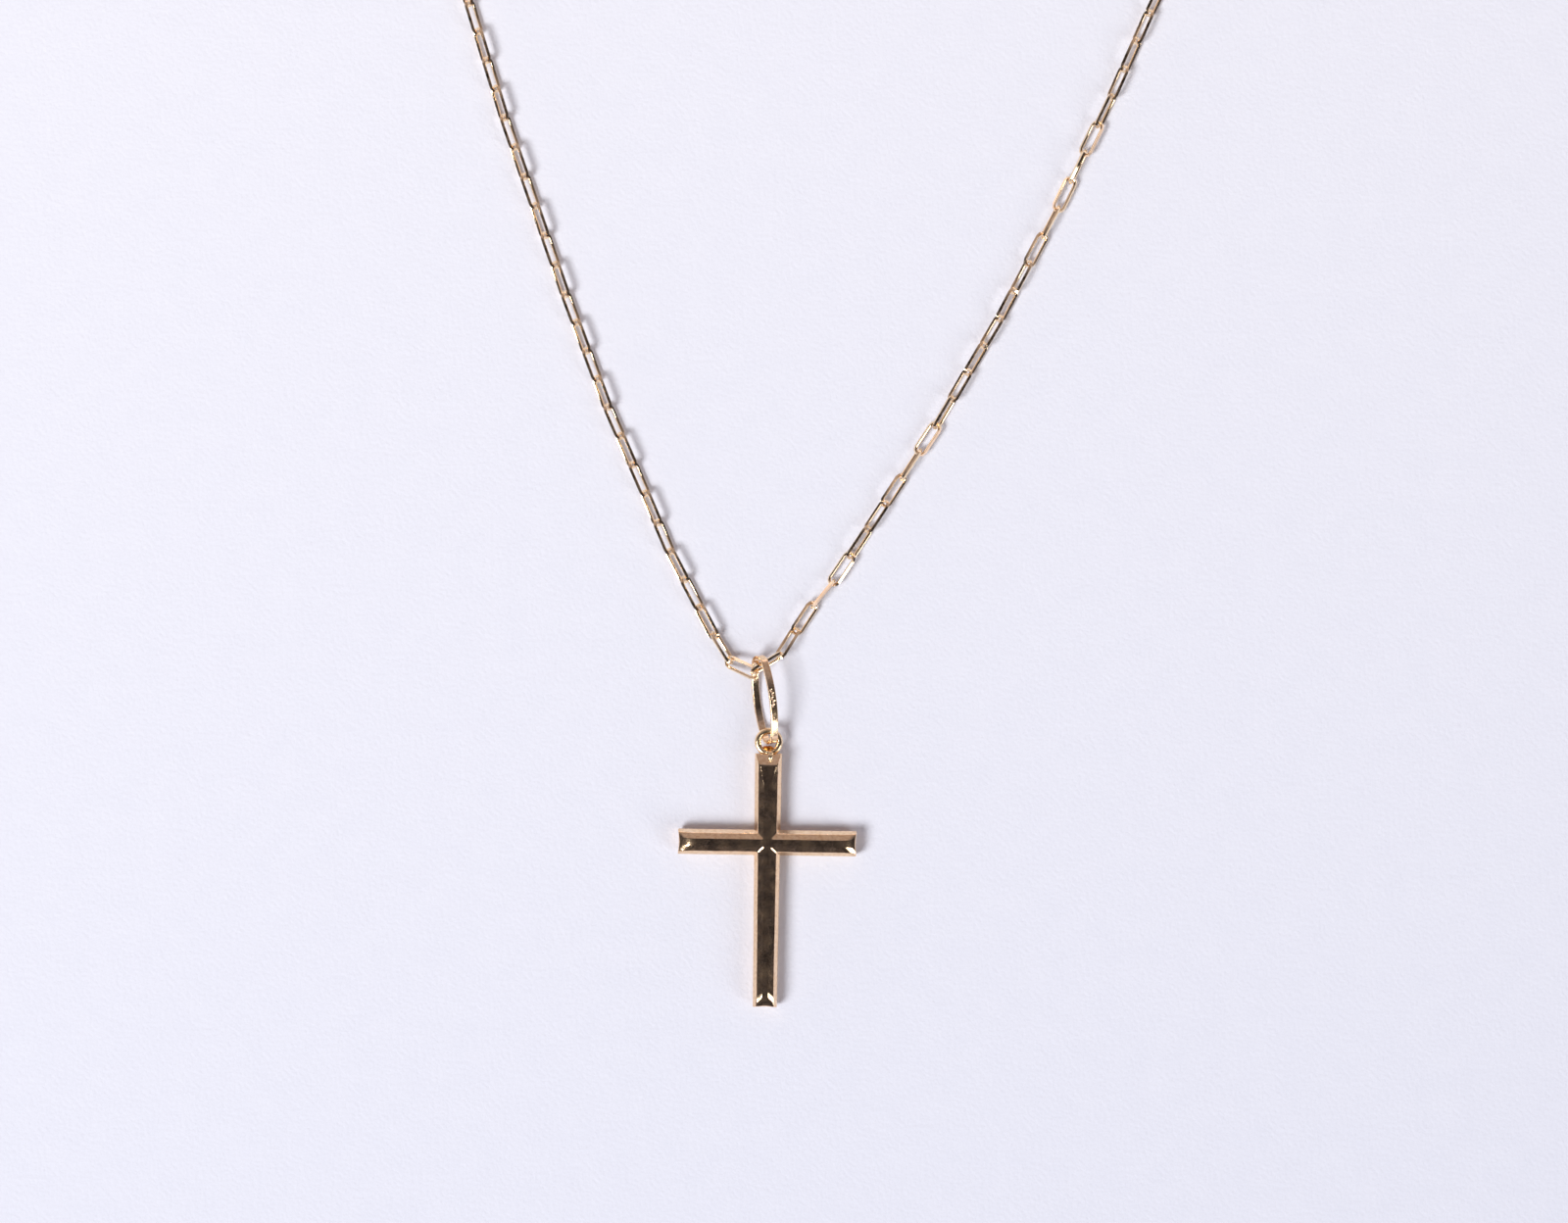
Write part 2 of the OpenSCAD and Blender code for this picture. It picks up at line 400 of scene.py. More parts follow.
@dataclass(frozen=True)
class WhitePaper:
    """Heavy uncoated paper, so matt that it shows only a faint tooth and a faint cloud.

    Its colour is painted darker evenly from the top of the picture to the foot. This is painted shade that stands
    for the light's fall-off.
    """

    colour: str = "#F4F5FE"
    shade: str = "#E0E3F0"
    # The painted shade of the fall-off starts at this point, runs in this direction and is whole after the length
    # below, in millimetres.
    painted_falloff_from: tuple[float, float] = (-70.0, -25.0)
    painted_falloff_way: tuple[float, float, float] = (0.1, -0.995, 0.0)
    painted_falloff_mm: float = 120.0
    cloud_mm: float = 2.2
    cloud_share: float = 0.25
    # The felt side of such paper has a tooth of about 0.1 mm. The render shows it only at 0.36 mm.
    tooth_mm: float = 0.36
    tooth_depth_mm: float = 0.08

    def material(self, name: str) -> bpy.types.Material:
        """Builds the material.

        Args:
            name: Name of the material.

        Returns:
            The material.
        """
        material = bpy.data.materials.new(name)
        material.use_nodes = True
        tree = material.node_tree
        tree.nodes.clear()
        where = add_node(tree, "ShaderNodeTexCoord").outputs["Object"]
        cloud = noise(tree, where, self.cloud_mm, 4.0)
        tooth = noise(tree, where, self.tooth_mm, 3.0)
        x, y = self.painted_falloff_from
        aside = add_node(tree, "ShaderNodeVectorMath", {"operation": "SUBTRACT", 1: (x * MM, y * MM, 0)}, {0: where})
        painted_falloff = add_node(tree, "ShaderNodeVectorMath", {"operation": "DOT_PRODUCT", 1: self.painted_falloff_way},
                         {0: aside.outputs[0]})
        # Share of the painted fall-off shade. The paper's own random cloud is added to it below.
        share = remap(tree, painted_falloff.outputs["Value"], (0.0, self.painted_falloff_mm * MM), (0.0, 1 - self.cloud_share))
        cloud_and_painted_falloff = add_node(tree, "ShaderNodeMath", {"operation": "MULTIPLY_ADD", 1: self.cloud_share},
                          {0: cloud, 2: share})
        # The colour runs towards the darker tone by the painted fall-off shade and by the paper's own cloud.
        tone = blend(tree, cloud_and_painted_falloff.outputs[0], self.colour, self.shade)
        bump = add_node(tree, "ShaderNodeBump", {"Strength": 0.6, "Distance": self.tooth_depth_mm * MM},
                        {"Height": tooth})
        shader = add_node(tree, "ShaderNodeBsdfPrincipled", {"Roughness": 0.9, "Specular IOR Level": 0.2},
                          {"Base Color": tone, "Normal": bump.outputs["Normal"]})
        add_node(tree, "ShaderNodeOutputMaterial", {}, {"Surface": shader.outputs[0]})
        return material


@dataclass
class Cross:
    """The stamped cross, the ring soldered to its top end and the solder that ran between them. The solder in the
    ring's hole is coloured with painted reflection and shade.

    The cross's own axes start at the middle of the ring, with +Y towards the chain.
    """

    finish: bpy.types.Material
    filler: bpy.types.Material
    # The last finish is painted reflection and shade: the orange that gold mirroring itself gives inside the ring's
    # hole.
    painted_reflection_finish: bpy.types.Material
    # The outline, and how far the bar's middle lies below the top end.
    upright_l: float = 21.6
    arm_drop: float = 7.6
    bar_l: float = 15.2
    upright_w: float = 2.3
    foot_w: float = 2.06
    bar_w: float = 2.16
    thick: float = 2.1
    pinch: float = 0.09
    # The ring, and how far it is sunk into the top end. The cross leans as it lies.
    ring_d: float = 2.4
    ring_wire: float = 0.54
    ring_sink: float = 0.24
    ring_z: float = 1.19
    lean: float = -0.85
    # The steep rims, the slopes inside them and the hips, with their angles in degrees.
    rim_w: float = 0.28
    rim_angle: float = 64.0
    slope_w: float = 0.52
    slope_angle: float = 33.0
    hip_w: float = 0.98
    foot_hip: float = 0.82
    hip_angle: float = 25.0
    foot_angle: float = 36.0
    # How softly the planes run into each other, for smooth_min and smooth_max.
    hip_round: float = 0.52
    top_hip_round: float = 0.05
    rim_round: float = 0.06
    ridge_round: float = 0.03
    brow_round: float = 0.006
    corner_round: float = 0.16
    edge_r: float = 0.07
    # Width and height of the bevel of the back.
    back_bevel: tuple[float, float] = (0.5, 0.45)
    # The face: how far it lies under the highest point, its crown, its wave and the lift at the top end.
    face_low: float = 0.012
    crown_low: float = 0.03
    wave: float = 0.004
    top_lift: float = 0.3
    top_reach: float = 1.6
    # The mesh: the distance of points on the rim, and the least angle in degrees of an edge left sharp.
    step: float = 0.1
    crisp_angle: float = 15.0
    drops: tuple[Drop, ...] = (
        Drop(0.0, 0.02, 0.0, wide=0.46, long=0.3, high=0.33),
        Drop(0.16, -0.3, 0.62, wide=0.2, long=0.3, high=0.14),
        Drop(0.2, -0.02, 0.45, wide=0.22, long=0.2, high=0.22),
        Drop(0.24, -0.62, 0.74, wide=0.13, long=0.12, high=0.1),
    )
    # A pool of real solder in the ring's hole. Its saturated orange colour is painted reflection and shade.
    painted_reflection_pool: tuple[Drop, ...] = (Drop(-0.06, 0.37, -0.06, wide=0.46, long=0.25, high=0.22),)
    place: np.ndarray = field(init=False)

    def __post_init__(self) -> None:
        """Finds the middle of the ring from the node's box: its top is the ring's, its middle the bar's."""
        low, high = (np.array(corner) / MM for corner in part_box("cross"))
        down = self.arm_drop + self.ring_d / 2 - self.ring_sink
        x = (low[0] + high[0]) / 2 - math.sin(math.radians(self.lean)) * down
        self.place = np.array([x, high[1] - self.ring_d / 2, 0.0])

    @property
    def top(self) -> float:
        """Height of the top end on the cross's own Y axis, which starts at the middle of the ring."""
        return self.ring_sink - self.ring_d / 2

    @property
    def foot(self) -> tuple[float, float, float]:
        """Reach, slope in degrees and softness of the hip at the foot and at both ends of the bar."""
        return self.foot_hip, self.foot_angle, self.hip_round

    def half_width(self, y: np.ndarray) -> np.ndarray:
        """Gives half the width of the upright, which tapers evenly from top to foot.

        Args:
            y: Places on the cross's own Y axis.

        Returns:
            Half the width at each.
        """
        share = np.clip((self.top - y) / self.upright_l, 0, 1)
        return (self.upright_w + (self.foot_w - self.upright_w) * share) / 2

    def corners(self) -> tuple[np.ndarray, np.ndarray, list[Edge]]:
        """Gives the twelve corners of the outline and the end of the middle line that each looks at.

        Returns:
            Corners counterclockwise from the top right, the point of the middle line for each, and how
            the side after each is finished.
        """
        yb, hb, hl = self.top - self.arm_drop, self.bar_w / 2, self.bar_l / 2
        foot = self.top - self.upright_l
        up, down = float(self.half_width(np.array(yb + hb))), float(self.half_width(np.array(yb - hb)))
        wt, wf = self.upright_w / 2, self.foot_w / 2
        outline = np.array([
            [wt, self.top], [-wt, self.top], [-up, yb + hb], [-hl, yb + hb], [-hl, yb - hb], [-down, yb - hb],
            [-wf, foot], [wf, foot], [down, yb - hb], [hl, yb - hb], [hl, yb + hb], [up, yb + hb],
        ])
        top_tip, foot_tip = [0, self.top - wt], [0, foot + wf]
        left_tip, right_tip, middle = [hb - hl, yb], [hl - hb, yb], [0, yb]
        spine = np.array([
            top_tip, top_tip, middle, left_tip, left_tip, middle,
            foot_tip, foot_tip, middle, right_tip, right_tip, middle,
        ])
        kinds = [Edge.END, Edge.SIDE, Edge.SIDE] * 4
        return outline, spine, kinds

    def loops(self) -> tuple[np.ndarray, np.ndarray]:
        """Lays points round the outline, with rounded corners and gently pinched ends.

        Each side is divided evenly. The ends are drawn in by a parabola. Every point then takes half its
        own place and a quarter of each neighbour's, which rounds the corners.

        Returns:
            Outline points and the point of the middle line for each.
        """
        outline, spine, kinds = self.corners()
        rim, core = [], []
        for k, kind in enumerate(kinds):
            a, b = outline[k], outline[(k + 1) % 12]
            c, d = spine[k], spine[(k + 1) % 12]
            n = max(6, round(float(np.linalg.norm(b - a)) / self.step))
            u = np.arange(n)[:, None] / n
            side = a + (b - a) * u
            if kind is Edge.END:
                along = (b - a) / np.linalg.norm(b - a)
                side = side + self.pinch * (1 - (2 * u - 1) ** 2) * np.array([-along[1], along[0]])
            rim.append(side)
            core.append(c + (d - c) * u)
        rim = np.concatenate(rim)
        rim = rim / 2 + (np.roll(rim, 1, 0) + np.roll(rim, -1, 0)) / 4
        return rim, np.concatenate(core)

    def bar_height(self, left: np.ndarray, right: np.ndarray, start: np.ndarray, end: np.ndarray,
                   start_hip: tuple[float, float, float], lift: np.ndarray | float = 0.0) -> np.ndarray:
        """Gives the front of one bar: steep rims, slopes, hipped ends and a faintly crowned face.

        Every face is a plane through its own edge. The lowest of them counts, with rounded edges.

        Args:
            left: Distance in from one long side.
            right: Distance in from the other long side.
            start: Distance in from one end.
            end: Distance in from the other end.
            start_hip: Reach, slope in degrees and softness of the first end's hip.
            lift: How far the long slopes are raised, which narrows them.

        Returns:
            Height at each point.
        """
        steep, mild = (math.tan(math.radians(a)) for a in (self.rim_angle, self.slope_angle))
        slope_low = self.thick - self.slope_w * mild + lift
        crown = self.thick - self.face_low - self.crown_low * ((left - right) / (left + right)) ** 2
        sides = []
        for d in (left, right):
            plane = slope_low + (d - self.rim_w) * mild
            rim = slope_low + (d - self.rim_w) * steep
            sides.append(smooth_min(plane, rim, self.rim_round))
        face = smooth_min(smooth_min(*sides, self.ridge_round), crown, self.brow_round)
        for d, reach, angle, soft in ((start, *start_hip), (end, *self.foot)):
            plane = self.thick - (reach - d) * math.tan(math.radians(angle))
            face = smooth_min(face, plane, soft)
        return face

    def front(self, p: np.ndarray) -> np.ndarray:
        """Gives the height of the front at each point: the higher of the two bars, and a slight wave.

        Args:
            p: Points, rows of x and y on the cross's own axes.

        Returns:
            Heights in millimetres.
        """
        x, y = p[..., 0], p[..., 1]
        w, hb, hl = self.half_width(y), self.bar_w / 2, self.bar_l / 2
        yb = self.top - self.arm_drop
        upright = self.bar_height(w + x, w - x, self.top - y, y - self.top + self.upright_l,
                                  (self.hip_w, self.hip_angle, self.top_hip_round), self.rise(y))
        bar = self.bar_height(hb + y - yb, hb - y + yb, hl + x, hl - x, self.foot)
        wave = np.sin(1.7 * x + 2.9 * y) + np.sin(4.1 * x - 1.3 * y + 1) + np.sin(2.3 * y - 0.9 * x + 2)
        return np.minimum(smooth_max(upright, bar, self.corner_round) + self.wave * wave, self.thick)

    def rise(self, y: np.ndarray) -> np.ndarray:
        """Says how far the upright's long slopes are raised, a bell curve that fades out below its top end.

        Args:
            y: Places on the cross's own Y axis.

        Returns:
            The lift at each.
        """
        return self.top_lift * np.exp(-((self.top - y) / self.top_reach) ** 2)

    def rows(self, core: np.ndarray, count: int = 33, brow: int = 26) -> np.ndarray:
        """Spaces the rows from the rim in to the middle line, one of them right on the brow of the slope.

        The spacing widens as one minus a cosine. It is stretched on each side of the brow, which stands
        where the slope, at its own angle, comes up to the face.

        Args:
            core: Points of the middle line.
            count: Number of rows.
            brow: The row that lies on the brow.

        Returns:
            Share of the way in, a row for each row of the surface and a column for each point.
        """
        upright = np.abs(core[:, 0]) < 1e-6
        half = np.where(upright, self.half_width(core[:, 1]), self.bar_w / 2)
        flank = self.rim_w + self.slope_w
        low = self.face_low + self.crown_low * (1 - flank / half) ** 2
        low = low + np.where(upright, self.rise(core[:, 1]), 0)
        at = (flank - low / math.tan(math.radians(self.slope_angle))) / half
        even = (1 - np.cos(np.linspace(0, np.pi / 2, count)))[:, None]
        knee = even[brow]
        return np.where(even <= knee, even / knee * at, at + (even - knee) / (1 - knee) * (1 - at))

    def body(self) -> bpy.types.Object:
        """Builds the cross itself from the outline inwards, front, wall and back.

        Row by row the surface goes from the middle line of the back out to the wall, up the wall and in
        again to the middle line of the front. Close to the wall the height falls off as a quarter circle,
        and the back slopes up to the wall as a plane.

        Returns:
            The object.
        """
        rim, core = self.loops()
        share = self.rows(core)
        at = rim + (core - rim) * share[..., None]
        d = np.linalg.norm(core - rim, axis=1) * share
        r = self.edge_r
        fall = r - np.sqrt(np.clip(r ** 2 - np.clip(r - d, 0, None) ** 2, 0, None))
        reach, height = self.back_bevel
        front = np.dstack([at, self.front(at) - fall])
        back = np.dstack([at, np.clip(height * (1 - d / reach), 0, None) + fall])
        up = np.array([0.25, 0.5, 0.75])[:, None, None]
        rows = np.concatenate([back[::-1], back[0] + (front[0] - back[0]) * up, front])
        faces = ring_faces(len(rows), len(rim), closed_rows=False)
        points = turned(rows.reshape(-1, 3), self.lean) + self.place
        piece = make_piece("cross_body", points, faces, self.finish)
        close_seams(piece)
        piece.data.set_sharp_from_angle(angle=math.radians(self.crisp_angle))
        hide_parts("cross")
        return piece

    def ring(self) -> bpy.types.Object:
        """Builds the soldered ring.

        Returns:
            The object.
        """
        points, faces = torus((0, 0, self.ring_z), self.ring_d, self.ring_wire)
        return make_piece("cross_ring", turned(points, self.lean) + self.place, faces, self.filler)

    def solder(self, name: str, drops: tuple[Drop, ...], finish: bpy.types.Material) -> bpy.types.Object:
        """Builds solder as drops that run into each other.

        Each drop is an ellipsoid whose radius swells and shrinks with a few sines of its two angles.

        Args:
            name: Name of the piece.
            drops: The drops.
            finish: Material of the drops.

        Returns:
            The object.
        """
        rows, columns = 25, 48
        v = np.linspace(0, np.pi, rows)[:, None]
        u = np.linspace(0, 2 * np.pi, columns, endpoint=False)[None, :]
        points, faces = [], []
        ball = np.stack([np.sin(v) * np.cos(u), np.sin(v) * np.sin(u), np.cos(v) + 0 * u], -1)
        for k, (x, y, z, *radii) in enumerate(drops):
            swell = 1 + 0.07 * np.sin(3 * u + k) * np.sin(v) ** 2 + 0.05 * np.sin(5 * v + 2 * k) * np.sin(v)
            grid = ball * radii * swell[..., None] + [x, self.top + y, self.ring_z + z]
            faces.append(ring_faces(rows, columns, closed_rows=False)[:, ::-1] + k * rows * columns)
            points.append(grid.reshape(-1, 3))
        place = turned(np.concatenate(points), self.lean) + self.place
        piece = make_piece(name, place, np.concatenate(faces), finish)
        close_seams(piece)
        return piece

    def build(self) -> list[bpy.types.Object]:
        """Builds every piece of the cross.

        Returns:
            The objects.
        """
        return [
            self.body(), self.ring(), self.solder("cross_solder", self.drops, self.filler),
            self.solder("cross_solder_painted_reflection", self.painted_reflection_pool, self.painted_reflection_finish),
        ]


@dataclass
class Loop:
    """Where loose ring-shaped solids lie: their middles, their own axes and their outer lengths."""

    middle: np.ndarray
    along: np.ndarray
    across: np.ndarray
    length: np.ndarray

    @classmethod
    def read(cls, node: str) -> "Loop":
        """Finds every loose solid of a node by the area moments of its surface.

        Triangles that share a corner get the same number. Each solid's weighted mean is its middle, and
        the main directions of its spread are its length and its width.

        Args:
            node: Name of the node.

        Returns:
            One row for each solid, in the order of their numbers.
        """
        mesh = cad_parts[node].data
        count = len(mesh.vertices)
        co = np.empty(count * 3, np.float32)
        mesh.vertices.foreach_get("co", co)
        co = co.reshape(-1, 3).astype(float) / MM
        mesh.calc_loop_triangles()
        tri = np.empty(len(mesh.loop_triangles) * 3, np.int32)
        mesh.loop_triangles.foreach_get("vertices", tri)
        _, same = np.unique(np.round(co, 4), axis=0, return_inverse=True)
        tri = same.reshape(-1)[tri].reshape(-1, 3)
        spots = np.zeros((same.max() + 1, 3))
        spots[same.reshape(-1)] = co
        # Every corner takes the lowest number in its triangles until nothing changes, so that each
        # solid ends with one number.
        label = np.arange(len(spots))
        while True:
            low = label[tri].min(1)
            new = label.copy()
            for k in range(3):
                np.minimum.at(new, tri[:, k], low)
            new = new[new]
            if np.array_equal(new, label):
                break
            label = new
        _, solid = np.unique(label, return_inverse=True)
        solid = solid.reshape(-1)
        group = solid[tri[:, 0]]
        a, b, c = (spots[tri[:, k]] for k in range(3))
        area = np.linalg.norm(np.cross(b - a, c - a), axis=1)
        middle_of = (a + b + c) / 3
        total = np.bincount(group, area)
        middle = np.stack([np.bincount(group, area * middle_of[:, k]) for k in range(3)], 1) / total[:, None]
        off = middle_of - middle[group]
        spread = np.stack([
            np.stack([np.bincount(group, area * off[:, i] * off[:, j]) for j in range(3)], 1) for i in range(3)
        ], 1) / total[:, None, None]
        _, axes = np.linalg.eigh(spread)
        along, across = axes[:, :, 2], axes[:, :, 1]
        along = along * np.where(along[:, 1:2] < 0, -1, 1)
        across = across * np.where(across[:, 2:3] < 0, -1, 1)
        reach = np.abs(np.einsum("ij,ij->i", spots - middle[solid], along[solid]))
        length = np.zeros(len(total))
        np.maximum.at(length, solid, reach)
        return cls(middle, along, across, 2 * length)


@dataclass
class Chain:
    """The fine cable chain, every long link with flats milled on its outer side."""

    finish: bpy.types.Material
    link_w: float = 1.15
    wire: float = 0.28
    ridge: float = 0.03
    bend_steps: int = 5
    # Corners of the wire's section in degrees from straight out, and which of them edge a flat.
    corners: tuple[int, ...] = (0, 78, 120, 180, 240, 282)
    flats: tuple[int, ...] = (1, 2, 0, 0, 0, 3)

    def section(self) -> np.ndarray:
        """Gives the section of the wire: two milled flats that meet outside, and a round inner side.

        Returns:
            Rows of the distance outwards and across.
        """
        t = np.radians(self.corners)
        return self.wire / 2 * np.stack([np.cos(t), np.sin(t)], 1)

    def build(self) -> bpy.types.Object:
        """Builds all links as one mesh, each where the chain's own solid lies.

        A link's path is two straight sides joined by half circles, and its section is carried round it.

        Returns:
            The object.
        """
        loops = Loop.read("chain")
        r = (self.link_w - self.wire) / 2
        t = np.linspace(-90, 90, self.bend_steps + 1)
        t = np.radians(np.concatenate([t, t + 180]))
        end = np.where(np.arange(len(t)) <= self.bend_steps, 1.0, -1.0)
        half = (loops.length - self.wire) / 2 - r
        normal = np.cross(loops.along, loops.across)
        section = self.section()
        x = half[:, None] * end + r * np.cos(t)
        y = np.broadcast_to(r * np.sin(t), x.shape)
        out = np.cos(t)[None, :, None] * loops.along[:, None] + np.sin(t)[None, :, None] * loops.across[:, None]
        path = loops.middle[:, None] + x[..., None] * loops.along[:, None] + y[..., None] * loops.across[:, None]
        # The corners of the flats stand a little proud of the round wire on the straight sides only.
        proud = 1 + 2 * self.ridge / self.wire * np.sin(t)[:, None] ** 2 * np.sign(self.flats)
        a, b = (section[:, k] * proud for k in (0, 1))
        points = (path[:, :, None] + a[None, :, :, None] * out[:, :, None]
                  + b[None, :, :, None] * normal[:, None, None])
        one = ring_faces(len(t), len(section))[:, ::-1]
        many = (one[None] + (np.arange(len(half)) * len(t) * len(section))[:, None, None]).reshape(-1, 4)
        kinds = np.tile(self.flats, len(half) * len(t))
        piece = make_piece("chain_links", points.reshape(-1, 3), many, self.finish, kinds)
        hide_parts("chain")
        return piece


@dataclass
class Bail:
    """The long oval loop of flat strip, its outer face punched with a few dots."""

    finish: bpy.types.Material
    long: float = 7.6
    wide: float = 2.95
    end_r: float = 0.88
    strip_w: float = 0.64
    strip_t: float = 0.24
    edge_r: float = 0.05
    # Each dot: how far along the limb it is punched, and how far off the strip's middle.
    dots: tuple[tuple[float, float], ...] = ((0.78, 0.06), (0.46, -0.05), (0.12, 0.05), (-0.2, -0.06), (-0.52, 0.04))
    dot_r: float = 0.17
    dot_deep: float = 0.055

    def path(self) -> tuple[np.ndarray, np.ndarray]:
        """Lays the middle line of the strip: two wide arcs joined by two tight ones.

        Returns:
            Points of width and length, and the outward directions, counterclockwise.
        """
        half_w, k = (self.wide - self.strip_t) / 2, (self.long - self.strip_t) / 2 - self.end_r
        side_r = (k * k + half_w * half_w - self.end_r ** 2) / (2 * (half_w - self.end_r))
        meet = math.atan2(k, side_r - half_w)
        side, end = np.linspace(-meet, meet, 150)[:-1], np.linspace(meet, np.pi - meet, 40)[:-1]
        angle = np.concatenate([side, end, side + np.pi, end + np.pi])
        parts = [
            np.stack([half_w - side_r + side_r * np.cos(side), side_r * np.sin(side)], 1),
            np.stack([self.end_r * np.cos(end), k + self.end_r * np.sin(end)], 1),
        ]
        points = np.concatenate(parts + [-part for part in parts])
        return points, np.stack([np.cos(angle), np.sin(angle)], 1)

    def section(self) -> np.ndarray:
        """Gives the section of the strip, a rectangle with rounded edges.

        Returns:
            Rows of the distance outwards and across.
        """
        h, w, r = self.strip_t / 2, self.strip_w / 2, self.edge_r
        t = np.linspace(0, np.pi / 2, 5)
        quarter = r * np.stack([np.sin(t), -np.cos(t)], 1)
        b = np.linspace(-w + r, w - r, 19)[1:-1]
        outer = np.stack([np.full_like(b, h), b], 1)
        low = quarter + [h - r, r - w]
        high = low[::-1] * [1, -1]
        return np.concatenate([low, outer, high, -low, outer * [-1, -1], -high])

    def build(self) -> bpy.types.Object:
        """Builds the bail where its solid lies, with the dots in the limb on the side of +width.

        Each dot is a bell curve taken off the outer face.

        Returns:
            The object.
        """
        seat = Loop.read("bail")
        along, across = seat.along[0], seat.across[0]
        normal = np.cross(across, along)
        points, out = self.path()
        section = self.section()
        a = np.broadcast_to(section[:, 0], (len(points), len(section))).copy()
        b = np.broadcast_to(section[:, 1], a.shape)
        side = (a > 0) & (points[:, :1] > 0)
        for y, shift in self.dots:
            far = (points[:, 1:] - y) ** 2 + (b - shift) ** 2
            a -= np.where(side, self.dot_deep * np.exp(-far / (self.dot_r / 2) ** 2 / 2), 0)
        flat = points[:, None] + a[..., None] * out[:, None]
        where = seat.middle[0] + flat[..., :1] * across + flat[..., 1:] * along + b[..., None] * normal
        faces = ring_faces(len(points), len(section))[:, ::-1]
        piece = make_piece("bail_strip", where.reshape(-1, 3), faces, self.finish)
        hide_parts("bail")
        return piece


@dataclass
class Clasp:
    """The plain closed ring behind the neck, an eyelet at each side."""

    finish: bpy.types.Material
    ring_d: float = 5.2
    wire: float = 1.1
    eyelet_d: float = 1.52
    eyelet_wire: float = 0.36
    eyelet_sink: float = 0.15
    eyelet_z: float = 0.585
    loop_r: float = 53.5  # Radius of the chain's even curve at the back.

    def build(self) -> bpy.types.Object:
        """Builds the ring and its eyelets as one piece.

        Returns:
            The object.
        """
        low, high = (np.array(corner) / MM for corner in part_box("clasp"))
        x, y = (low[0] + high[0]) / 2, high[1] - self.ring_d / 2
        away = self.ring_d / 2 + self.eyelet_d / 2 - self.eyelet_sink
        turn = 2 * math.asin(away / 2 / self.loop_r)
        dx, dy = self.loop_r * math.sin(turn), self.loop_r * (math.cos(turn) - 1)
        shapes = [torus((x, y, self.wire / 2), self.ring_d, self.wire)]
        for s in (-1, 1):
            shapes.append(torus((x + s * dx, y + dy, self.eyelet_z), self.eyelet_d, self.eyelet_wire, 64, 20))
        starts = np.cumsum([0] + [len(p) for p, _ in shapes])
        points = np.concatenate([p for p, _ in shapes])
        faces = np.concatenate([f + s for (_, f), s in zip(shapes, starts)])
        piece = make_piece("clasp_ring", points, faces, self.finish)
        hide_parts("clasp")
        return piece


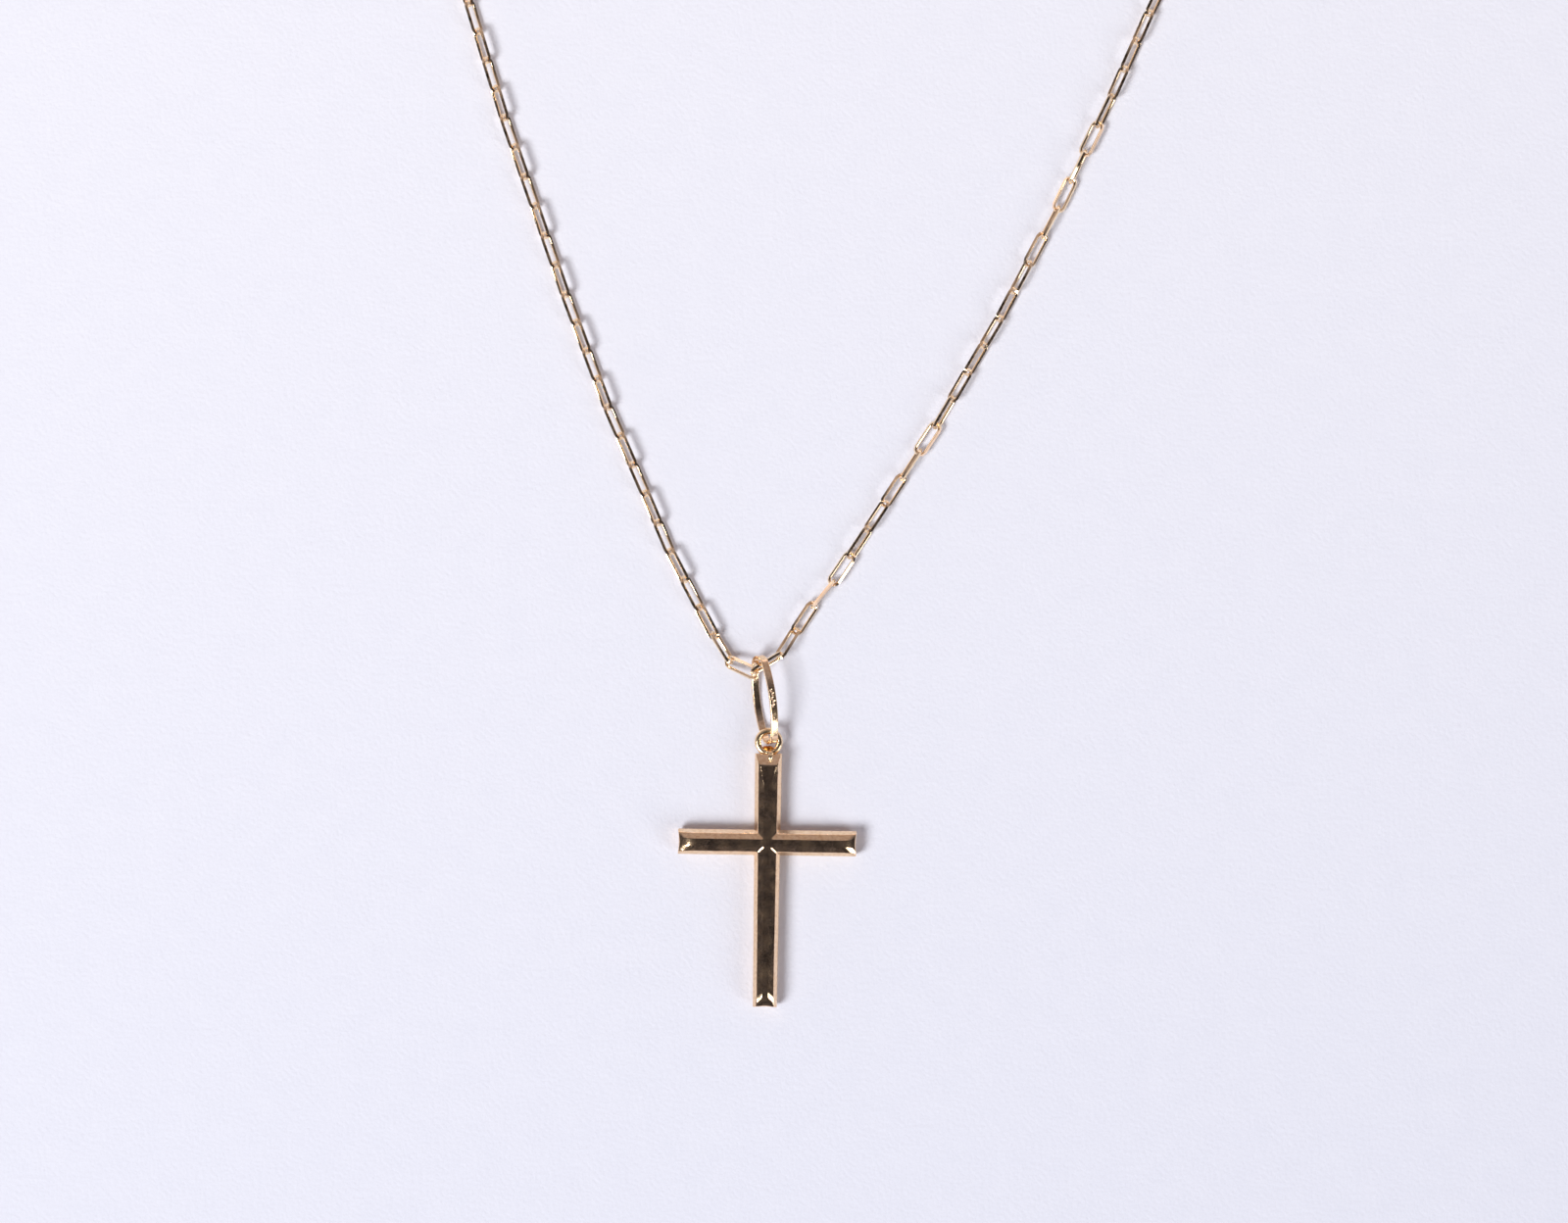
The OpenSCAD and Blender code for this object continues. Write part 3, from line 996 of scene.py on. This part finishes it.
@dataclass
class Studio:
    """The sheet of paper, the two soft boxes, the dark room around them and the camera."""

    paper: bpy.types.Material
    # The camera hangs over the middle of the picture, which is frame_w wide at the height face_h.
    middle: tuple[float, float] = (-6.8, -73.13)
    frame_w: float = 133.33
    camera_h: float = 420.0
    face_h: float = 1.0
    sensor_w: float = 36.0
    paper_side: float = 6000.0
    # The soft boxes look at a point this far below the middle, on the cross.
    aim_drop: float = 20.0
    # The room's light, how far its patches dim and brighten it, and between which noise values.
    room: float = 0.036
    room_spread: tuple[float, float] = (0.1, 4.2)
    room_span: tuple[float, float] = (0.4, 0.66)
    room_tint: str = "#F6EEFF"
    wall: float = 0.4
    wall_tint: str = "#F6D5B3"
    wall_reach: tuple[float, float] = (82.0, 58.0)
    skirt: float = 0.95
    skirt_reach: tuple[float, float] = (73.0, 81.0)

    def sheet(self) -> bpy.types.Object:
        """Lays the paper at the height that the solids rest on.

        Returns:
            The object.
        """
        low, h = CAD_BOX[0][2] / MM, self.paper_side / 2
        corners = h * np.array([[-1, -1, 0], [1, -1, 0], [1, 1, 0], [-1, 1, 0]]) + [*self.middle, low]
        mesh = bpy.data.meshes.new("paper")
        mesh.from_pydata((corners * MM).tolist(), [], [[0, 1, 2, 3]])
        mesh.materials.append(self.paper)
        sheet = bpy.data.objects.new("paper", mesh)
        bpy.context.scene.collection.objects.link(sheet)
        return sheet

    def soft_box(self, name: str, azimuth: float, rise: float, away: float, side: float, power: float) -> None:
        """Hangs a square soft box that looks at the pendant.

        Args:
            name: Name of the light.
            azimuth: Direction it hangs in, in degrees from +X towards +Y.
            rise: Its height above the table, in degrees.
            away: Its distance in millimetres.
            side: Length of its side in millimetres.
            power: Its power in watts.
        """
        light = bpy.data.lights.new(name, "AREA")
        light.shape, light.size, light.energy = "SQUARE", side * MM, power
        lamp = bpy.data.objects.new(name, light)
        a, e = math.radians(azimuth), math.radians(rise)
        x, y = self.middle
        towards = np.array([math.cos(e) * math.cos(a), math.cos(e) * math.sin(a), math.sin(e)])
        lamp.location = (np.array([x, y - self.aim_drop, 0]) + away * towards) * MM
        lamp.rotation_euler = (math.pi / 2 - e, 0, a + math.pi / 2)
        bpy.context.scene.collection.objects.link(lamp)

    def surroundings(self) -> None:
        """Makes the dark room that flat faces mirror.

        A warm grey wall stands in the +Y direction, which the upper slopes mirror, and a pale skirt runs
        round the horizon. Each fades in between two angles, from its own direction and from straight up.
        """
        world = bpy.data.worlds.new("room")
        bpy.context.scene.world = world
        world.use_nodes = True
        tree = world.node_tree
        tree.nodes.clear()
        where = add_node(tree, "ShaderNodeTexCoord").outputs["Generated"]
        patches = add_node(tree, "ShaderNodeTexNoise", {"Scale": 13.0, "Detail": 3.0}, {"Vector": where})
        dim, bright = (self.room * share for share in self.room_spread)
        base = remap(tree, patches.outputs["Fac"], self.room_span, (dim, bright))
        glows = (
            ((0.0, 0.0, 1.0), self.skirt_reach, self.skirt),
            ((0.0, 1.0, 0.0), self.wall_reach, self.wall),
        )
        for direction, reach, light in glows:
            facing = add_node(tree, "ShaderNodeVectorMath", {"operation": "DOT_PRODUCT", 1: direction}, {0: where})
            dark, full = (math.cos(math.radians(angle)) for angle in reach)
            glow = remap(tree, facing.outputs["Value"], (dark, full), (0.0, light), "SMOOTHSTEP")
            base = add_node(tree, "ShaderNodeMath", {"operation": "ADD"}, {0: base, 1: glow}).outputs[0]
        # The wall's own light, the last glow, also says how far its tint goes.
        tint = blend(tree, glow, self.room_tint, self.wall_tint)
        sky = add_node(tree, "ShaderNodeBackground", {}, {"Color": tint, "Strength": base})
        add_node(tree, "ShaderNodeOutputWorld", {}, {"Surface": sky.outputs[0]})

    def camera(self) -> None:
        """Hangs the camera straight above the middle, so that the picture is frame_w wide at face_h."""
        lens = bpy.data.cameras.new("camera")
        lens.sensor_fit = "HORIZONTAL"
        lens.sensor_width = self.sensor_w
        lens.lens = self.sensor_w * (self.camera_h - self.face_h) / self.frame_w
        lens.clip_start, lens.clip_end = 0.01, 50.0
        eye = bpy.data.objects.new("camera", lens)
        x, y = self.middle
        eye.location = (x * MM, y * MM, self.camera_h * MM)
        bpy.context.scene.collection.objects.link(eye)
        bpy.context.scene.camera = eye

    def build(self) -> None:
        """Sets up everything around the object."""
        self.camera()
        self.sheet()
        self.soft_box("main_box", azimuth=214, rise=49, away=1500, side=600, power=21.6)
        self.soft_box("side_box", azimuth=326, rise=31, away=1500, side=700, power=6.5)
        self.surroundings()
        bpy.context.scene.view_settings.view_transform = "Standard"


def main() -> None:
    """Builds the pieces in order."""
    logging.basicConfig(level=logging.INFO, format="%(name)s: %(message)s")
    Studio(WhitePaper().material("uncoated_paper")).build()
    gold = PressedGold().material("buffed_gold")
    # Wire is drawn through a die, which leaves it smooth and even, brighter than the buffed cross.
    wire = PressedGold(
        colour="#FDE8CA", deeper="#F8DBB2", roughness=0.1, peel_depth_mm=0.0, wave_depth_mm=0.002, haze="#F5D7AC",
    ).material("drawn_gold_wire")
    # Solder sets with a wrinkled skin, so its highlights break up.
    solder = PressedGold(
        colour="#FDE6C4", deeper="#F6D6A6", roughness=0.2, peel_mm=0.25, peel_depth_mm=0.015, wave_mm=0.6,
        wave_depth_mm=0.02, haze="#F3D2A0",
    ).material("gold_solder")
    # Inside the ring the gold mirrors itself again and again. The solder pool there is given a saturated orange:
    # painted reflection of that mirroring, and painted shade of the hole.
    painted_reflection_pool = PressedGold(
        colour="#F0A650", deeper="#D9822F", roughness=0.3, peel_mm=0.25, peel_depth_mm=0.02, wave_mm=0.5,
        wave_depth_mm=0.03, haze="#C8701F", haze_mm=0.3,
    ).material("gold_solder_painted_reflection")
    Cross(gold, solder, painted_reflection_pool).build()
    Bail(gold).build()
    Chain(wire).build()
    Clasp(wire).build()


if __name__ == "__main__":
    main()
